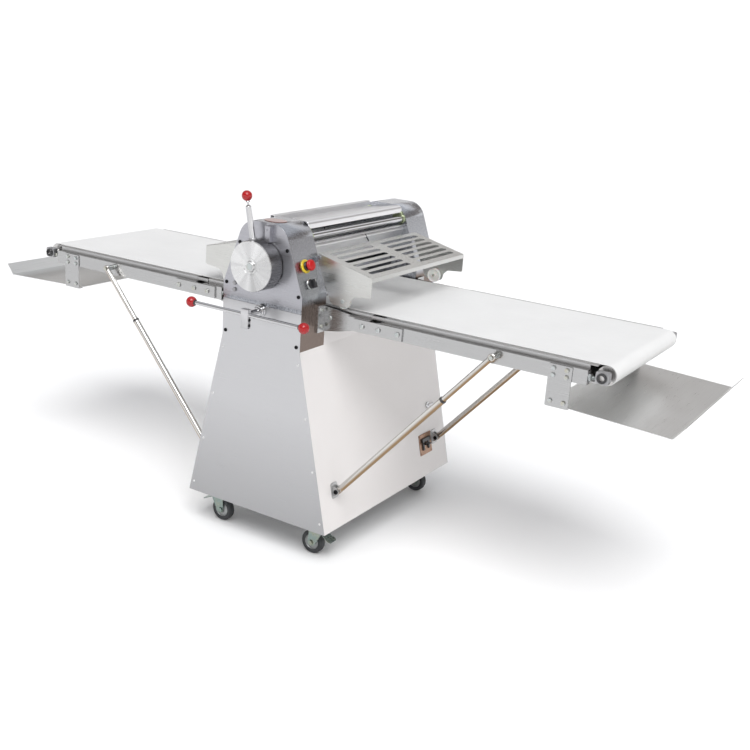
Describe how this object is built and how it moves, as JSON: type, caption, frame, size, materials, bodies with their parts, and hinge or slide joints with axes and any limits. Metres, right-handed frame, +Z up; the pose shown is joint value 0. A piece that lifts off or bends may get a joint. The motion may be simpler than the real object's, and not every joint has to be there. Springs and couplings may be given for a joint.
{
  "type": "dough sheeter",
  "caption": "Reversible dough sheeter on a wheeled stand: two-roller head with gap handle, hinged guards and folding belt tables with struts and end trays.",
  "frame": {"origin": "on the floor, under the middle of the stand and head, halfway between the two side housings", "axes": "+X along the belt tables to the right seen from the operator, +Y away from the operator, +Z up"},
  "size_m": [2.456, 0.8489, 1.0867],
  "materials": {
    "stainless_brushed": "brushed satin",
    "stainless_satin": "satin",
    "white_powder": "fine powder coat",
    "frame_paint": "satin",
    "fasteners": "black oxide",
    "cast_grey": "satin",
    "chrome": "polished",
    "belt": "matte",
    "motor_paint": "satin",
    "black_rubber": "matte",
    "breaker": "moulded",
    "yellow_plastic": "gloss",
    "red_plastic": "gloss",
    "black_plastic": "fine",
    "turned_aluminium": "turned",
    "nylon": "moulded",
    "zinc": "zinc plated",
    "tyre": "moulded",
    "steel_bar": "bright"
  },
  "bodies": {
    "root": {"base_frame": "frame_paint", "front_panel": "stainless_brushed", "front_plate": "stainless_brushed", "rear_panel": "stainless_brushed", "right_panel": "white_powder", "left_panel": "white_powder", "panel_screws": "fasteners", "strut_lugs": "stainless_satin", "front_housing": "cast_grey", "rear_housing": "cast_grey", "roller_hood": "stainless_satin", "scraper_bars": "chrome", "table_brackets": "stainless_satin", "inner_belts": "belt", "drive_motor": "motor_paint", "vee_belt": "black_rubber", "switch_plate": "breaker", "estop_ring": "yellow_plastic"},
    "lower_roller_body": {"lower_roller": "chrome"},
    "gap_handle": {"gap_dial": "turned_aluminium", "gap_lever": "chrome"},
    "gap_knob_body": {"gap_knob": "red_plastic"},
    "carriage": {"roller_carriage": "steel_bar"},
    "upper_roller_body": {"upper_roller": "chrome"},
    "motor_pulley_body": {"motor_pulley": "steel_bar"},
    "reversing_lever_body": {"reversing_lever": "chrome"},
    "estop_button_body": {"estop_button": "red_plastic"},
    "selector_body": {"selector_knob": "black_plastic"},
    "cam_lock_body": {"cam_lock": "chrome"},
    "breaker_toggle_body": {"breaker_toggle": "black_plastic"},
    "drive_roller_right_body": {"drive_roller_right": "turned_aluminium"},
    "table_right": {"table_frame_right": "stainless_satin", "bed_right": "stainless_satin", "belt_right": "belt", "end_fittings_right": "steel_bar", "tray_right": "stainless_brushed"},
    "end_roller_right_body": {"end_roller_right": "turned_aluminium"},
    "strut_tube_right": {"strut_tubes_right": "chrome"},
    "strut_rod_right": {"strut_rods_right": "chrome"},
    "guard_right_body": {"guard_right": "stainless_satin"},
    "guard_discs_right_body": {"guard_discs_right": "nylon"},
    "drive_roller_left_body": {"drive_roller_left": "turned_aluminium"},
    "table_left": {"table_frame_left": "stainless_satin", "bed_left": "stainless_satin", "belt_left": "belt", "end_fittings_left": "steel_bar", "tray_left": "stainless_brushed"},
    "end_roller_left_body": {"end_roller_left": "turned_aluminium"},
    "strut_tube_left": {"strut_tubes_left": "chrome"},
    "strut_rod_left": {"strut_rods_left": "chrome"},
    "guard_left_body": {"guard_left": "stainless_satin"},
    "guard_discs_left_body": {"guard_discs_left": "nylon"},
    "caster_fork_front_right_body": {"caster_fork_front_right": "zinc"},
    "caster_wheel_front_right_body": {"caster_wheel_front_right": "tyre"},
    "caster_fork_front_left_body": {"caster_fork_front_left": "zinc"},
    "caster_wheel_front_left_body": {"caster_wheel_front_left": "tyre"},
    "caster_fork_rear_right_body": {"caster_fork_rear_right": "zinc"},
    "caster_wheel_rear_right_body": {"caster_wheel_rear_right": "tyre"},
    "caster_fork_rear_left_body": {"caster_fork_rear_left": "zinc"},
    "caster_wheel_rear_left_body": {"caster_wheel_rear_left": "tyre"}
  },
  "joints": [
    {"name": "lower_roller_spin", "type": "hinge", "parent": "root", "child": "lower_roller_body", "pos_m": [0, 0, 0.724], "axis": [0, 1, 0], "continuous": true},
    {"name": "gap_handle_turn", "type": "hinge", "parent": "root", "child": "gap_handle", "pos_m": [0, -0.41, 0.88], "axis": [0, 1, 0], "range_deg": [-32.87, 126.8]},
    {"name": "gap_knob_pull", "type": "slide", "parent": "gap_handle", "child": "gap_knob_body", "axis": [-0.2079, 0, 0.9781], "range_m": [0, 0.008], "stiffness_N_per_m": 400},
    {"name": "roller_lift", "type": "slide", "parent": "root", "child": "carriage", "axis": [0, 0, 1], "range_m": [-0.007, 0.027]},
    {"name": "upper_roller_spin", "type": "hinge", "parent": "carriage", "child": "upper_roller_body", "pos_m": [0, 0, 0.816], "axis": [0, 1, 0], "continuous": true},
    {"name": "motor_pulley_spin", "type": "hinge", "parent": "root", "child": "motor_pulley_body", "pos_m": [0, 0.324, 0.23], "axis": [0, 1, 0], "continuous": true},
    {"name": "reversing_lever_tilt", "type": "hinge", "parent": "root", "child": "reversing_lever_body", "pos_m": [0, -0.45, 0.743], "axis": [0, 1, 0], "range_deg": [-15, 15]},
    {"name": "estop_press", "type": "slide", "parent": "root", "child": "estop_button_body", "axis": [-0.9391, 0, -0.3437], "range_m": [0, 0.005], "stiffness_N_per_m": 1500},
    {"name": "selector_turn", "type": "hinge", "parent": "root", "child": "selector_body", "pos_m": [0.13202, -0.325, 0.836], "axis": [0.9391, 0, 0.3437], "range_deg": [-45, 45]},
    {"name": "cam_lock_turn", "type": "hinge", "parent": "root", "child": "cam_lock_body", "pos_m": [0.21282, 0.284, 0.334], "axis": [0.9757, 0, 0.219], "range_deg": [0, 90]},
    {"name": "breaker_toggle_tilt", "type": "hinge", "parent": "root", "child": "breaker_toggle_body", "pos_m": [0.2485, 0.243, 0.21386], "axis": [0, 1, 0], "range_deg": [-25, 25]},
    {"name": "drive_roller_right_spin", "type": "hinge", "parent": "root", "child": "drive_roller_right_body", "pos_m": [0.088, 0, 0.741], "axis": [0, 1, 0], "continuous": true},
    {"name": "table_right_fold", "type": "hinge", "parent": "root", "child": "table_right", "pos_m": [0.342, 0, 0.734], "axis": [0, -1, 0], "range_deg": [0, 80]},
    {"name": "end_roller_right_spin", "type": "hinge", "parent": "table_right", "child": "end_roller_right_body", "pos_m": [1.003, 0, 0.741], "axis": [0, 1, 0], "continuous": true},
    {"name": "strut_right_swing", "type": "hinge", "parent": "root", "child": "strut_tube_right", "pos_m": [0.25198, 0, 0.221], "axis": [0, -1, 0], "range_deg": [0, 31.68]},
    {"name": "strut_right_extend", "type": "slide", "parent": "strut_tube_right", "child": "strut_rod_right", "axis": [0.6614, 0, 0.75], "range_m": [0, 0.1981]},
    {"name": "guard_right_lift", "type": "hinge", "parent": "root", "child": "guard_right_body", "pos_m": [0.12197, 0, 0.905], "axis": [0, -1, 0], "range_deg": [0, 70]},
    {"name": "guard_discs_right_spin", "type": "hinge", "parent": "guard_right_body", "child": "guard_discs_right_body", "pos_m": [0.20897, 0, 0.7903], "axis": [0, 1, 0], "continuous": true},
    {"name": "drive_roller_left_spin", "type": "hinge", "parent": "root", "child": "drive_roller_left_body", "pos_m": [-0.088, 0, 0.741], "axis": [0, 1, 0], "continuous": true},
    {"name": "table_left_fold", "type": "hinge", "parent": "root", "child": "table_left", "pos_m": [-0.342, 0, 0.734], "axis": [0, 1, 0], "range_deg": [0, 80]},
    {"name": "end_roller_left_spin", "type": "hinge", "parent": "table_left", "child": "end_roller_left_body", "pos_m": [-1.003, 0, 0.741], "axis": [0, 1, 0], "continuous": true},
    {"name": "strut_left_swing", "type": "hinge", "parent": "root", "child": "strut_tube_left", "pos_m": [-0.25198, 0, 0.221], "axis": [0, 1, 0], "range_deg": [0, 31.68]},
    {"name": "strut_left_extend", "type": "slide", "parent": "strut_tube_left", "child": "strut_rod_left", "axis": [-0.6614, 0, 0.75], "range_m": [0, 0.1981]},
    {"name": "guard_left_lift", "type": "hinge", "parent": "root", "child": "guard_left_body", "pos_m": [-0.12197, 0, 0.905], "axis": [0, 1, 0], "range_deg": [0, 70]},
    {"name": "guard_discs_left_spin", "type": "hinge", "parent": "guard_left_body", "child": "guard_discs_left_body", "pos_m": [-0.20897, 0, 0.7903], "axis": [0, 1, 0], "continuous": true},
    {"name": "caster_front_right_swivel", "type": "hinge", "parent": "root", "child": "caster_fork_front_right_body", "pos_m": [0.205, -0.31, 0.1], "axis": [0, 0, 1], "continuous": true},
    {"name": "caster_front_right_roll", "type": "hinge", "parent": "caster_fork_front_right_body", "child": "caster_wheel_front_right_body", "pos_m": [0.179, -0.31, 0.0375], "axis": [0, 1, 0], "continuous": true},
    {"name": "caster_front_left_swivel", "type": "hinge", "parent": "root", "child": "caster_fork_front_left_body", "pos_m": [-0.205, -0.31, 0.1], "axis": [0, 0, 1], "continuous": true},
    {"name": "caster_front_left_roll", "type": "hinge", "parent": "caster_fork_front_left_body", "child": "caster_wheel_front_left_body", "pos_m": [-0.179, -0.31, 0.0375], "axis": [0, 1, 0], "continuous": true},
    {"name": "caster_rear_right_swivel", "type": "hinge", "parent": "root", "child": "caster_fork_rear_right_body", "pos_m": [0.205, 0.31, 0.1], "axis": [0, 0, 1], "continuous": true},
    {"name": "caster_rear_right_roll", "type": "hinge", "parent": "caster_fork_rear_right_body", "child": "caster_wheel_rear_right_body", "pos_m": [0.179, 0.31, 0.0375], "axis": [0, 1, 0], "continuous": true},
    {"name": "caster_rear_left_swivel", "type": "hinge", "parent": "root", "child": "caster_fork_rear_left_body", "pos_m": [-0.205, 0.31, 0.1], "axis": [0, 0, 1], "continuous": true},
    {"name": "caster_rear_left_roll", "type": "hinge", "parent": "caster_fork_rear_left_body", "child": "caster_wheel_rear_left_body", "pos_m": [-0.179, 0.31, 0.0375], "axis": [0, 1, 0], "continuous": true}
  ],
  "couplings": [
    {"joint": "roller_lift", "follows": "gap_handle_turn", "m_per_rad": 0.0122},
    {"joint": "upper_roller_spin", "follows": "lower_roller_spin", "ratio": -1},
    {"joint": "motor_pulley_spin", "follows": "lower_roller_spin", "ratio": 1.7143},
    {"joint": "drive_roller_right_spin", "follows": "lower_roller_spin", "ratio": 1.68},
    {"joint": "end_roller_right_spin", "follows": "lower_roller_spin", "ratio": 1.68},
    {"joint": "strut_right_swing", "follows": "table_right_fold", "ratio": 0.39535},
    {"joint": "strut_right_extend", "follows": "table_right_fold", "m_per_rad": 0.14172},
    {"joint": "drive_roller_left_spin", "follows": "lower_roller_spin", "ratio": 1.68},
    {"joint": "end_roller_left_spin", "follows": "lower_roller_spin", "ratio": 1.68},
    {"joint": "strut_left_swing", "follows": "table_left_fold", "ratio": 0.39535},
    {"joint": "strut_left_extend", "follows": "table_left_fold", "m_per_rad": 0.14172}
  ]
}
